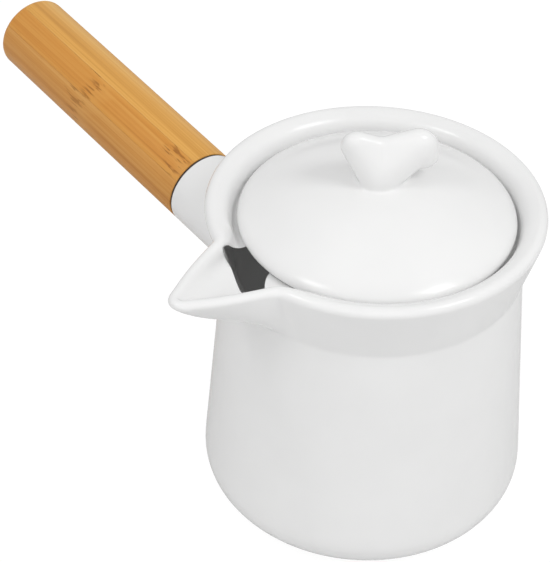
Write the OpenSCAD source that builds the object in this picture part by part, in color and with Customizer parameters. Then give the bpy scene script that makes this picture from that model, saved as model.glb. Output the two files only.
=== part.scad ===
// Ceramic milk warmer: a pouring pot with a loose domed lid and a bamboo side handle.
// The pot stands on z = 0 with its axis on Z, its handle towards +X and its spout towards +Y.

/* [Pot] */
// Outer diameter of the rim
rim_d = 100; // [92:0.5:112]
// Height of the rim's top above the table
pot_h = 105.7; // [98:0.1:125]
// Height of the flared collar, from its crease to the rim's top
collar_h = 21.2; // [18:0.1:26]
// How far the collar flares outward between its crease and the rim
collar_flare = 5.6; // [3:0.1:7.5]
// How far the body swells outward between the crease and the base corner
body_swell = 4.9; // [1:0.1:8]
// Radius of the hollow crease below the collar
crease_r = 5; // [2:0.5:8]
// Radius of the corner between the body and the base
base_corner_r = 13; // [9:0.5:17]
// Thickness of the body's wall
wall = 5; // [3.5:0.1:6.5]
// Thickness of the floor
floor_t = 6; // [4:0.1:9]
// Thickness of the rounded lip
lip_t = 4.4; // [3.2:0.1:5.5]

/* [Lid seat] */
// Depth of the lid's seat below the rim's top
seat_drop = 7.3; // [6:0.1:10]
// How far the collar's inner face narrows between the lip and the seat
funnel_run = 3.4; // [2:0.1:4.5]
// Width of the ledge that carries the lid
seat_w = 3.6; // [2.6:0.1:5]
// Height of the ledge's inner nose
ledge_h = 4; // [2.5:0.1:6]
// Radius of the ledge's rounded inner edge
ledge_r = 1.2; // [0.5:0.1:2]
// Gap between the lid's edge and the foot of the collar's inner face
lid_gap = 1.6; // [0.5:0.1:2]

/* [Spout] */
// How far the spout's tip reaches past the rim
spout_reach = 24; // [16:0.5:32]
// Width of the spout where it leaves the rim
spout_w = 31; // [27:0.5:36]
// Radius of the spout's rounded tip
tip_r = 4; // [3:0.1:5]
// How far the spout's edges bow sideways at their middle
spout_bow = 1.1; // [0:0.1:2]
// How far the tip lies below the rim's top
tip_drop = 0.3; // [0:0.1:3]
// Radius of the spout's rounded underside
belly_r = 6; // [4:0.1:8]
// How far past the rim the underside is roundest
belly_out = 6; // [2:0.1:10]
// Depth of the underside below the rim's top at that place
belly_drop = 15.5; // [13:0.1:19]
// Wall between the channel and the outside of the tip
tip_wall = 3.4; // [2.5:0.1:4.5]
// Depth of the channel at the tip
tip_channel_depth = 2.6; // [1.5:0.1:4]
// Width of the channel where it crosses the collar
channel_w = 22; // [18:0.5:24]
// Width of the passage through the lid's ledge
passage_w = 19; // [14:0.5:20]
// Depth of the channel's floor below the rim's top where it crosses the collar
sill_drop = 10.7; // [9:0.1:13]
// Radius of the channel's inner corners
channel_r = 3; // [2:0.1:4]

/* [Lid] */
// Height of the dome's peak above the lid's seat, before the knob's flat is cut
lid_h = 16.7; // [13:0.1:20]
// Thickness of the lid's rounded edge
lid_edge_t = 4.6; // [3.6:0.1:6]
// Thickness of the lid's dome
dome_t = 5; // [3.5:0.1:6.5]
// Depth of the locating ring below the seat
ring_h = 2.5; // [2:0.1:5]
// Width of the locating ring
ring_w = 3; // [2:0.1:4.5]
// Gap between the locating ring and the ledge
ring_gap = 1.5; // [0.5:0.1:2.5]

/* [Knob] */
// Distance between the centres of the two lobes
lobe_span = 19.8; // [16:0.1:24]
// Radius of each lobe
lobe_r = 3.9; // [3:0.1:5]
// Front to back length of each lobe, between its two round ends
lobe_l = 7.2; // [4:0.1:9]
// Height of the lobes' centres above the foot's centre
lobe_rise = 4.9; // [4:0.1:8]
// Radius of the foot
knob_foot_r = 7.7; // [6.8:0.1:9]
// Front to back length of the foot, between its two round ends
knob_foot_l = 0.8; // [0.5:0.1:4]
// Height of the foot's centre above the lid's flat
knob_foot_rise = 4.3; // [3:0.1:6]
// Sideways lean of the knob
knob_lean = 8; // [0:0.5:12]
// Turn of the knob about the pot's axis
knob_turn = 252; // [0:1:359]
// Sideways offset of the knob from the pot's axis
knob_offset = 2.3; // [0:0.1:3]

/* [Handle] */
// Height at which the handle's axis meets the pot's axis
handle_z = 52.8; // [45:0.1:60]
// Upward tilt of the handle
handle_tilt = 5; // [0:0.5:10]
// Diameter of the handle and of its socket
handle_d = 25.6; // [22:0.1:30]
// Length of the ceramic socket outside the body
socket_l = 38; // [32:0.5:48]
// Radius of the fillet at the socket's root
socket_fillet = 7; // [3:0.5:9]
// Diameter of the socket's bore
socket_bore_d = 15; // [13:0.1:17]
// Depth of the socket's bore
socket_bore_l = 28; // [22:0.5:30]
// Thickness of the washer between socket and bamboo
washer_t = 0.5; // [0.3:0.1:2]
// How far the washer's edge lies inside the handle's surface
washer_inset = 0.4; // [0.2:0.1:1.5]
// Length of the bamboo grip
grip_l = 98.6; // [80:0.1:130]
// Radius of the rounded edge at the grip's free end
grip_end_r = 2; // [0.5:0.1:5]
// Thickness of the middle bamboo strip
core_strip_t = 8.5; // [7:0.1:10]
// Turn of the bamboo strips about the handle's axis
strip_turn = 54; // [0:1:180]

/* [Fastening] */
// Diameter of the handle bolt
bolt_d = 5; // [4:0.5:6]
// Width of the bolt's hexagon head across its flats
bolt_head_w = 8; // [7:0.5:10]
// Height of the bolt's head
bolt_head_h = 3.5; // [2.5:0.1:5]
// Depth of cement behind the bolt's head
bolt_head_cover = 3; // [2:0.1:6]
// Outer diameter of the threaded insert in the bamboo
insert_d = 7.6; // [7:0.1:9]
// Length of the threaded insert
insert_l = 16; // [12:0.5:24]
// How far the bolt stops short of the insert's inner end
bolt_end_gap = 2; // [0.5:0.5:4]
// Depth of the insert's hole past its inner end
insert_relief = 2; // [0.5:0.5:4]
// Radial and end clearance of every bonded or screwed fit
bond_gap = 0.05; // [0.02:0.01:0.1]

/* [Hidden] */
$fn = 96;
// Facets round each ball of a blended shape
blend_fn = 24;
// Steps along a small arc and along the dome's arc
arc_steps = 10;
dome_steps = 24;
// Overshoot of a cut past the face that it opens
cut = 1;
// Height of the cuts that open the top of the pot
open_h = 20;
glaze = "whitesmoke";

rim_r = rim_d / 2;
neck_r = rim_r - collar_flare;
neck_z = pot_h - collar_h;
body_r = neck_r + body_swell;
body_slant = atan2(body_swell, neck_z - base_corner_r);
lip_r = lip_t / 2;
lip_c = [rim_r - lip_r, pot_h - lip_r];
collar_slant = atan2(collar_flare, collar_h - lip_r);

seat_z = pot_h - seat_drop;
seat_r = lip_c.x - lip_r - funnel_run;
nose_r = seat_r - seat_w;
funnel_slant = atan2(funnel_run, seat_drop - lip_r);
inner_corner_r = max(base_corner_r - wall, 2);
inner_corner_c = [body_r - wall - inner_corner_r, floor_t + inner_corner_r];

tip_y = rim_r + spout_reach;
tip_z = pot_h - tip_drop;
spout_root_x = spout_w / 2 - lip_r;
spout_root_y = sqrt(lip_c.x * lip_c.x - spout_root_x * spout_root_x);
spout_mid_x = (spout_root_x + tip_r - lip_r) / 2 + spout_bow;
spout_mid_y = (spout_root_y + tip_y - tip_r) / 2;
sill_z = pot_h - sill_drop;

lid_edge_r = lid_edge_t / 2;
lid_r = seat_r - lid_gap;
lid_edge_c = [lid_r - lid_edge_r, seat_z + lid_edge_r];
ring_r = nose_r - ring_gap;
// The dome's arc runs smoothly into the round edge
dome_rise = lid_h - lid_edge_r;
dome_r = (lid_edge_c.x * lid_edge_c.x + dome_rise * dome_rise - lid_edge_r * lid_edge_r)
    / (2 * (dome_rise - lid_edge_r));
dome_c = [0, seat_z + lid_h - dome_r];
dome_edge_angle = atan2(lid_edge_c.y - dome_c.y, lid_edge_c.x);
dome_under_r = dome_r - dome_t;
// The knob stands on a flat that is just wide enough for its foot
knob_seat_r = sqrt(knob_foot_r * knob_foot_r - knob_foot_rise * knob_foot_rise)
    + knob_foot_l / 2 + knob_offset;
lid_top = dome_c.y + sqrt(dome_r * dome_r - knob_seat_r * knob_seat_r);

handle_r = handle_d / 2;
handle_exit_z = handle_z + neck_r * tan(handle_tilt);
socket_root = body_r - (handle_exit_z - base_corner_r) * tan(body_slant);
socket_face = socket_root + socket_l;
grip_start = socket_face + washer_t;
bore_floor = socket_face - socket_bore_l;
bolt_head_s = bore_floor + bolt_head_cover;
bolt_end_s = grip_start + insert_l - bolt_end_gap;
insert_hole_l = insert_l + insert_relief;

// Points along an arc about centre c
function arc(c, r, from, to, steps = arc_steps) =
    [for (i = [0:steps]) let (a = from + (to - from) * i / steps) c + r * [cos(a), sin(a)]];

// Direction from point a to point b
function toward(a, b) = (b - a) / norm(b - a);

// Points of a rounded corner at b, between the lines from a and to c
function rounded(a, b, c, r) =
    let (
        u = toward(b, a),
        v = toward(b, c),
        half = acos(u * v) / 2,
        centre = b + toward([0, 0], u + v) * r / sin(half),
        first = b + u * r / tan(half) - centre,
        last = b + v * r / tan(half) - centre,
        from = atan2(first.y, first.x),
        turn = atan2(last.y, last.x) - from,
        short = turn > 180 ? turn - 360 : turn < -180 ? turn + 360 : turn
    )
    arc(centre, r, from, from + short);

module at_handle() {
    translate([0, 0, handle_z])
        rotate([0, 90 - handle_tilt, 0])
            children();
}

module at_knob() {
    translate([0, 0, lid_top])
        rotate([0, 0, knob_turn])
            translate([knob_offset, 0, 0])
                children();
}

// Outside of the pot's body, collar and lip, solid to the axis
module pot_outside() {
    corner_c = [body_r - base_corner_r, base_corner_r];
    corner = arc(corner_c, base_corner_r, -90, body_slant);
    lip = arc(lip_c, lip_r, -collar_slant, 90);
    neck = rounded(corner[arc_steps], [neck_r, neck_z], lip[0], crease_r);
    rotate_extrude()
        polygon(concat([[0, 0]], corner, neck, lip, [[0, pot_h]]));
}

// Room inside the pot, from the floor past the ledge and the collar's inner face
module pot_inside() {
    lip = arc(lip_c, lip_r, 90, 180 - funnel_slant);
    nose = arc([nose_r + ledge_r, seat_z - ledge_r], ledge_r, 90, 180);
    corner = arc(inner_corner_c, inner_corner_r, body_slant, -90);
    rotate_extrude()
        polygon(concat(
            [[0, pot_h + open_h], [lip_c.x, pot_h + open_h]],
            lip,
            [[seat_r, seat_z]],
            nose,
            [[nose_r, seat_z - ledge_h], [neck_r - wall, neck_z]],
            corner,
            [[0, floor_t]]
        ));
}

// Beak from the collar's crease and the rim out to the tip
module spout_outside() {
    hull() {
        translate([0, tip_y - tip_r, tip_z - lip_r])
            rotate_extrude($fn = blend_fn)
                intersection() {
                    translate([tip_r - lip_r, 0])
                        circle(lip_r, $fn = blend_fn);
                    translate([0, -lip_r])
                        square([tip_r, lip_t]);
                }
        for (side = [-1, 1]) {
            translate([side * spout_mid_x, spout_mid_y, (pot_h + tip_z) / 2 - lip_r])
                sphere(lip_r, $fn = blend_fn);
            translate([side * spout_root_x, spout_root_y, pot_h - lip_r])
                sphere(lip_r, $fn = blend_fn);
        }
        translate([0, rim_r + belly_out, pot_h - belly_drop + belly_r])
            sphere(belly_r, $fn = blend_fn);
        translate([0, neck_r - crease_r, neck_z + crease_r / 2])
            sphere(crease_r, $fn = blend_fn);
    }
}

// Pouring channel from the passage through the ledge out to the tip
module spout_channel() {
    tip_hole_r = tip_r - tip_wall + channel_r / 2;
    hull() {
        translate([0, tip_y - tip_wall - tip_hole_r, tip_z - tip_channel_depth])
            cylinder(r = tip_hole_r, h = open_h, $fn = blend_fn);
        for (side = [-1, 1]) {
            translate([side * (channel_w / 2 - channel_r), spout_root_y, seat_z])
                cylinder(r = channel_r, h = open_h, $fn = blend_fn);
            translate([side * (passage_w / 2 - channel_r), nose_r - channel_r, seat_z - cut])
                cylinder(r = channel_r, h = open_h, $fn = blend_fn);
        }
        for (y = [nose_r - channel_r, spout_root_y])
            translate([0, y, sill_z + channel_r])
                sphere(channel_r, $fn = blend_fn);
    }
}

// Socket stub along the handle's axis, with a fillet at its root
module socket_outside() {
    flare_r = handle_r + socket_fillet;
    flare_s = sqrt(socket_root * socket_root - flare_r * flare_r);
    at_handle()
        rotate_extrude()
            polygon(concat(
                [[0, 0], [flare_r, 0]],
                arc([flare_r, flare_s + socket_fillet], socket_fillet, -90, -180),
                [[handle_r, socket_face], [0, socket_face]]
            ));
}

module pot() {
    color(glaze)
        difference() {
            union() {
                pot_outside();
                spout_outside();
                socket_outside();
            }
            pot_inside();
            spout_channel();
            at_handle()
                translate([0, 0, bore_floor])
                    cylinder(d = socket_bore_d, h = socket_bore_l + cut);
        }
}

module lid() {
    flat_angle = 90 - asin(knob_seat_r / dome_r);
    under_angle = acos((ring_r - ring_w) / dome_under_r);
    color(glaze)
        rotate_extrude()
            polygon(concat(
                [[0, lid_top]],
                arc(dome_c, dome_r, flat_angle, dome_edge_angle, dome_steps),
                arc(lid_edge_c, lid_edge_r, dome_edge_angle, -90),
                [[ring_r, seat_z], [ring_r, seat_z - ring_h], [ring_r - ring_w, seat_z - ring_h]],
                arc(dome_c, dome_under_r, under_angle, 90, dome_steps)
            ));
}

// Two balls that make a rounded bar from front to back
module bar_ends(r, l) {
    for (side = [-1, 1])
        translate([0, side * l / 2, 0])
            sphere(r, $fn = blend_fn);
}

// Two round lobes that draw together into one foot, cut flat where it stands on the lid
module lid_knob() {
    reach = lobe_span + knob_foot_l + open_h;
    color(glaze)
        at_knob()
            difference() {
                translate([0, 0, knob_foot_rise])
                    rotate([0, knob_lean, 0])
                        for (side = [-1, 1])
                            hull() {
                                translate([side * lobe_span / 2, 0, lobe_rise])
                                    bar_ends(lobe_r, lobe_l);
                                bar_ends(knob_foot_r, knob_foot_l);
                            }
                translate([-reach, -reach, -2 * reach])
                    cube(2 * reach);
            }
}

// Whole bamboo grip, with a rounded free end and a blind hole for the insert
module grip_blank() {
    at_handle()
        translate([0, 0, grip_start])
            difference() {
                rotate_extrude()
                    polygon(concat(
                        [[0, 0], [handle_r, 0]],
                        arc([handle_r - grip_end_r, grip_l - grip_end_r], grip_end_r, 0, 90),
                        [[0, grip_l]]
                    ));
                translate([0, 0, -cut])
                    cylinder(d = insert_d + 2 * bond_gap, h = insert_hole_l + cut);
            }
}

// Slice of the grip between two planes along the strips' stacking direction
module grip_slice(from, to) {
    intersection() {
        grip_blank();
        at_handle()
            rotate([0, 0, strip_turn])
                translate([from, -handle_d, grip_start - cut])
                    cube([to - from, 2 * handle_d, grip_l + 2 * cut]);
    }
}

module grip_strip_upper() {
    color("burlywood")
        grip_slice(-handle_d, -core_strip_t / 2);
}

module grip_strip_core() {
    color("peru")
        grip_slice(-core_strip_t / 2, core_strip_t / 2);
}

module grip_strip_lower() {
    color("sandybrown")
        grip_slice(core_strip_t / 2, handle_d);
}

module joint_washer() {
    color("dimgray")
        at_handle()
            translate([0, 0, socket_face])
                difference() {
                    cylinder(d = handle_d - 2 * washer_inset, h = washer_t);
                    translate([0, 0, -cut])
                        cylinder(d = bolt_d + 2 * bond_gap, h = washer_t + 2 * cut);
                }
}

// Hexagon-headed bolt shape along the handle's axis, grown by a gap on every side
module bolt_shape(gap) {
    head_r = (bolt_head_w / 2 + gap) / cos(30);
    translate([0, 0, bolt_head_s - gap])
        cylinder(r = head_r, h = bolt_head_h + 2 * gap, $fn = 6);
    translate([0, 0, bolt_head_s])
        cylinder(d = bolt_d + 2 * gap, h = bolt_end_s - bolt_head_s + gap);
}

module handle_bolt() {
    color("silver")
        at_handle()
            bolt_shape(0);
}

module grip_insert() {
    color("goldenrod")
        at_handle()
            translate([0, 0, grip_start])
                difference() {
                    cylinder(d = insert_d, h = insert_l);
                    translate([0, 0, -cut])
                        cylinder(d = bolt_d + 2 * bond_gap, h = insert_l + 2 * cut);
                }
}

// Cement that fills the socket round the bolt's head and shank
module socket_cement() {
    color("lightgray")
        at_handle()
            difference() {
                translate([0, 0, bore_floor + bond_gap])
                    cylinder(d = socket_bore_d - 2 * bond_gap, h = socket_bore_l - 2 * bond_gap);
                bolt_shape(bond_gap);
            }
}

pot();
lid();
lid_knob();
grip_strip_upper();
grip_strip_core();
grip_strip_lower();
joint_washer();
handle_bolt();
grip_insert();
socket_cement();
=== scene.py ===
"""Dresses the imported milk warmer: glazed pot and lid, bamboo grip, joint, camera and light.

Sizes in the classes are millimetres in the part's own frame, with the pot on z = 0, its handle
towards +X and its spout towards +Y. Meshes, noise scales and lamps are in metres.
"""
import logging
import math
from contextlib import contextmanager
from dataclasses import dataclass
from enum import Enum
from typing import Callable, Iterator, Sequence

import bmesh
import bpy
import numpy as np
from mathutils import Matrix, Vector


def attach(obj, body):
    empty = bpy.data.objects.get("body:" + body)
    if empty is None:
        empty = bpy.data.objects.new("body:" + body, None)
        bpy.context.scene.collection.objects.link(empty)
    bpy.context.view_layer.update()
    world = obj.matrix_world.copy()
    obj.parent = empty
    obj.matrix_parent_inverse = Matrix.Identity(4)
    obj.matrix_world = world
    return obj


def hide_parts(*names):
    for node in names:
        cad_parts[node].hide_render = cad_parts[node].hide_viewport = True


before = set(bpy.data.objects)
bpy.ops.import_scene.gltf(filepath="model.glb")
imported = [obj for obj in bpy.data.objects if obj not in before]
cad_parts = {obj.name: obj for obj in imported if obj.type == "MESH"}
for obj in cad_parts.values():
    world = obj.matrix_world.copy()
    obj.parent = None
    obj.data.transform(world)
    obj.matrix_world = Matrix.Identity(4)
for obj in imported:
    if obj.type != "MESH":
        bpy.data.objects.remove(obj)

LOG = logging.getLogger("milk_warmer")
MM = 0.001
SPLINE_STEPS = 40
OVERCUT = 1.0  # how far a cutting tool stands out of the face it cuts
NOISE_MIDDLE = (0.3, 0.7)  # range that most of a noise lies in
Point = tuple[float, float]
Span = tuple[float, float]
Place = tuple[float, float, float]
Colour = tuple[float, float, float]
Piece = bpy.types.Object
Socket = bpy.types.NodeSocket


class Body(Enum):
    """Bodies of the frame that pieces ride on."""

    POT = "pot"
    LID = "lid"


class Slot(Enum):
    """Names of the record's material slots."""

    POT_GLAZE = "pot_glaze"
    LID_GLAZE = "lid_glaze"
    BAMBOO_LIGHT = "bamboo_light"
    BAMBOO_MID = "bamboo_mid"
    BAMBOO_WARM = "bamboo_warm"


class Zone(Enum):
    """Stretch of the pot's wall that a row of vertices belongs to."""

    BODY = "body"
    COLLAR = "collar"
    LIP = "lip"
    FUNNEL = "funnel"
    INSIDE = "inside"


class Selection(Enum):
    """What is selected when edit mode starts."""

    KEPT = ""
    ALL = "SELECT"
    NONE = "DESELECT"


class Combination(Enum):
    """What a tool does to a piece."""

    ADD = "UNION"
    CUT = "DIFFERENCE"


# Profile geometry


def arc(centre: Point, radius: float, start: float, end: float, steps: int) -> list[Point]:
    """Points along an arc between two angles in degrees, both ends included."""
    turns = np.radians(np.linspace(start, end, steps + 1))
    return [(centre[0] + radius * math.cos(a), centre[1] + radius * math.sin(a)) for a in turns]


def straight(start: Point, end: Point, steps: int) -> list[Point]:
    """Points along a line in even steps, without its first point."""
    return [(start[0] + (end[0] - start[0]) * t, start[1] + (end[1] - start[1]) * t)
            for t in np.linspace(0.0, 1.0, steps + 1)[1:]]


def rounded(before: Point, corner: Point, after: Point, radius: float, steps: int) -> list[Point]:
    """Points of a rounded corner between two lines.

    Args:
        before: A point on the line that comes in.
        corner: The sharp corner.
        after: A point on the line that goes out.
        radius: Radius of the rounding.
        steps: Number of steps along it.

    Returns:
        The points of the rounding.
    """
    middle = np.array(corner)
    back = (np.array(before) - middle) / np.linalg.norm(np.array(before) - middle)
    ahead = (np.array(after) - middle) / np.linalg.norm(np.array(after) - middle)
    half = math.acos(float(back @ ahead)) / 2
    inward = (back + ahead) / np.linalg.norm(back + ahead)
    centre = middle + inward * radius / math.sin(half)
    first = middle + back * radius / math.tan(half) - centre
    last = middle + ahead * radius / math.tan(half) - centre
    start = math.degrees(math.atan2(first[1], first[0]))
    turn = math.degrees(math.atan2(last[1], last[0])) - start
    turn = (turn + 180) % 360 - 180
    return arc((centre[0], centre[1]), radius, start, start + turn, steps)


def smoothstep(low: float, high: float, value: float) -> float:
    """Smooth ramp from 0 at low to 1 at high."""
    t = min(max((value - low) / (high - low), 0.0), 1.0)
    return t * t * (3 - 2 * t)


def pulled(points: Sequence[Vector], t: float) -> Vector:
    """Point of the smooth curve that control points pull from the first to the last of them.

    Args:
        points: The control points.
        t: Share of the way along the curve.

    Returns:
        The point.
    """
    level = list(points)
    while len(level) > 1:
        level = [a.lerp(b, t) for a, b in zip(level, level[1:])]
    return level[0]


def spline(points: Sequence[Sequence[float]], samples: int, closed: bool = False) -> np.ndarray:
    """Smooth curve through points, at even spacing along its length.

    Args:
        points: Points that the curve passes through.
        samples: Number of samples.
        closed: Whether it comes back to its first point, which is then also its last sample.

    Returns:
        Array of samples by the points' dimensions.
    """
    knots = np.array(points, float)
    if closed:
        knots = np.vstack([knots, knots[:1]])
        padded = np.vstack([knots[-2], knots, knots[1]])
    else:
        padded = np.vstack([2 * knots[0] - knots[1], knots, 2 * knots[-1] - knots[-2]])
    fine = []
    for a, b, c, d in zip(padded, padded[1:], padded[2:], padded[3:]):
        for t in np.linspace(0, 1, SPLINE_STEPS, endpoint=False):
            fine.append(0.5 * (2 * b + (c - a) * t + (2 * a - 5 * b + 4 * c - d) * t**2
                               + (3 * b - a - 3 * c + d) * t**3))
    fine = np.array([*fine, knots[-1]])
    travelled = np.concatenate([[0], np.cumsum(np.linalg.norm(np.diff(fine, axis=0), axis=1))])
    wanted = np.linspace(0, travelled[-1], samples)
    return np.stack([np.interp(wanted, travelled, values) for values in fine.T], axis=1)


class Bench:
    """Hand tools of the modeller, one piece at a time."""

    MERGE = 1e-6  # points nearer than this are one
    FLAT = 1e-7  # edges shorter than this are cleared

    @staticmethod
    def take(piece: Piece) -> None:
        """Makes a piece the only selected and the active one.

        Args:
            piece: The piece.
        """
        bpy.ops.object.select_all(action="DESELECT")
        piece.select_set(True)
        bpy.context.view_layer.objects.active = piece

    @staticmethod
    @contextmanager
    def editing(piece: Piece, selection: Selection = Selection.KEPT) -> Iterator[bmesh.types.BMesh]:
        """Edit mode on one piece, left again at the end.

        Args:
            piece: The piece to edit.
            selection: What of it is selected at the start.

        Returns:
            The edit mesh, as a context manager.
        """
        Bench.take(piece)
        bpy.ops.object.mode_set(mode="EDIT")
        if selection is not Selection.KEPT:
            bpy.ops.mesh.select_all(action=selection.value)
        try:
            yield bmesh.from_edit_mesh(piece.data)
        finally:
            bpy.ops.object.mode_set(mode="OBJECT")

    @staticmethod
    def named(name: str) -> Piece:
        """Names the active piece and puts its place into its mesh.

        Args:
            name: The name.

        Returns:
            The piece.
        """
        piece = bpy.context.object
        piece.name = piece.data.name = name
        Bench.take(piece)
        bpy.ops.object.transform_apply(location=True, rotation=True, scale=True)
        return piece

    @staticmethod
    def add(name: str, primitive: Callable[..., set[str]], **settings: object) -> Piece:
        """Adds a primitive to start a piece from.

        Args:
            name: Name of the piece.
            primitive: The operator that adds it.
            settings: The operator's settings by name.

        Returns:
            The piece.
        """
        bpy.ops.object.select_all(action="DESELECT")
        primitive(**settings)
        return Bench.named(name)

    @staticmethod
    def chain(name: str, points: Sequence[Point]) -> Piece:
        """Extrudes one vertex along a profile in the XZ plane.

        Args:
            name: Name of the piece.
            points: Profile points, radius and height in millimetres.

        Returns:
            The piece, a chain of edges.
        """
        piece = Bench.add(name, bpy.ops.mesh.primitive_plane_add, size=MM)
        with Bench.editing(piece) as mesh:
            mesh.verts.ensure_lookup_table()
            bmesh.ops.delete(mesh, geom=mesh.verts[1:], context="VERTS")
            mesh.verts.ensure_lookup_table()
            mesh.verts[0].co = Vector((points[0][0], 0, points[0][1])) * MM
            mesh.verts[0].select_set(True)
            mesh.select_flush_mode()
            bmesh.update_edit_mesh(piece.data)
            for a, b in zip(points, points[1:]):
                step = Vector((b[0] - a[0], 0, b[1] - a[1])) * MM
                bpy.ops.mesh.extrude_vertices_move(TRANSFORM_OT_translate={"value": step})
        return piece

    @staticmethod
    def spin(piece: Piece, columns: int) -> None:
        """Spins a profile about Z into a closed shell.

        Args:
            piece: The chain of edges.
            columns: Number of columns round the axis.
        """
        with Bench.editing(piece, Selection.ALL):
            bpy.ops.mesh.spin(steps=columns, angle=2 * math.pi, center=(0, 0, 0), axis=(0, 0, 1))
        Bench.close(piece)

    @staticmethod
    def close(piece: Piece) -> None:
        """Merges doubles, clears what is flat and turns every face outward.

        Args:
            piece: The piece.
        """
        with Bench.editing(piece, Selection.ALL):
            bpy.ops.mesh.remove_doubles(threshold=Bench.MERGE)
            bpy.ops.mesh.dissolve_degenerate(threshold=Bench.FLAT)
            bpy.ops.mesh.normals_make_consistent(inside=False)

    @staticmethod
    def apply(piece: Piece, kind: str, **settings: object) -> None:
        """Adds a modifier and applies it.

        Args:
            piece: The piece to change.
            kind: Kind of modifier.
            settings: The modifier's settings by name.
        """
        modifier = piece.modifiers.new(kind.title(), kind)
        for name, value in settings.items():
            setattr(modifier, name, value)
        Bench.take(piece)
        bpy.ops.object.modifier_apply(modifier=modifier.name)

    @staticmethod
    def combine(piece: Piece, tool: Piece, way: Combination) -> None:
        """Adds a tool to a piece or cuts it out of it, and removes the tool."""
        Bench.apply(piece, "BOOLEAN", object=tool, operation=way.value, solver="EXACT")
        bpy.data.objects.remove(tool)

    @staticmethod
    def join(pieces: Sequence[Piece], name: str) -> Piece:
        """Joins pieces into the first one.

        Args:
            pieces: The pieces.
            name: Name of the result.

        Returns:
            The joined piece.
        """
        Bench.take(pieces[0])
        for piece in pieces[1:]:
            piece.select_set(True)
        bpy.ops.object.join()
        return Bench.named(name)

    @staticmethod
    def loft(name: str, rings: Sequence[Sequence[Vector]]) -> Piece:
        """Extrudes a filled ring from place to place into a closed piece.

        Args:
            name: Name of the piece.
            rings: Rings of points in millimetres, each with the same count.

        Returns:
            The closed piece.
        """
        piece = Bench.add(name, bpy.ops.mesh.primitive_circle_add, vertices=len(rings[0]),
                          radius=MM, fill_type="NGON")
        with Bench.editing(piece) as mesh:
            order = list(mesh.verts)
            for vertex, place in zip(order, rings[0]):
                vertex.co = place * MM
            for ring in rings[1:]:
                before = [vertex.co.copy() for vertex in order]
                bpy.ops.mesh.extrude_region_move()
                mesh = bmesh.from_edit_mesh(piece.data)
                fresh = [vertex for vertex in mesh.verts if vertex.select]
                order = [min(fresh, key=lambda v, c=co: (v.co - c).length_squared)
                         for co in before]
                for vertex, place in zip(order, ring):
                    vertex.co = place * MM
                bmesh.update_edit_mesh(piece.data)
        Bench.close(piece)
        return piece

    @staticmethod
    def smooth(piece: Piece, angle: float) -> None:
        """Shades a piece smooth, apart from edges sharper than an angle in degrees."""
        Bench.take(piece)
        bpy.ops.object.shade_smooth_by_angle(angle=math.radians(angle))

    @staticmethod
    def coat(piece: Piece, material: bpy.types.Material) -> None:
        """Makes a material the only one of a piece."""
        piece.data.materials.clear()
        piece.data.materials.append(material)


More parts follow.
